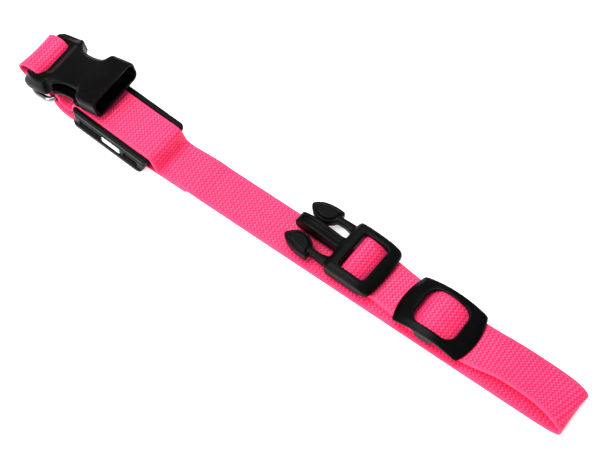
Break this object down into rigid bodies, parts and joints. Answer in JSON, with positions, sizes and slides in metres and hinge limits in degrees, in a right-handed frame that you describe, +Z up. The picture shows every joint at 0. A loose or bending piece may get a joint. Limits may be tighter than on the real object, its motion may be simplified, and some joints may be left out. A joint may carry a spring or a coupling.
{
  "type": "dog collar",
  "caption": "Unbuckled dog collar of flat webbing, folded flat on a surface, with a side-release buckle, slider, ring for a lead and a small flat module.",
  "frame": {"origin": "centre of the footprint, on the surface that the collar lies on", "axes": "+X along the collar from the buckle's socket to the fold, +Y across it, +Z up"},
  "size_m": [0.3576, 0.0424, 0.031],
  "materials": {
    "webbing": "coarse plain weave",
    "black_plastic": "satin",
    "steel": "polished",
    "white_plastic": "smooth"
  },
  "bodies": {
    "root": {"strap": "webbing", "buckle_socket": "black_plastic", "buckle_plug": "black_plastic", "slider": "black_plastic", "d_ring": "steel", "module_case": "black_plastic", "module_window": "white_plastic"}
  },
  "joints": []
}
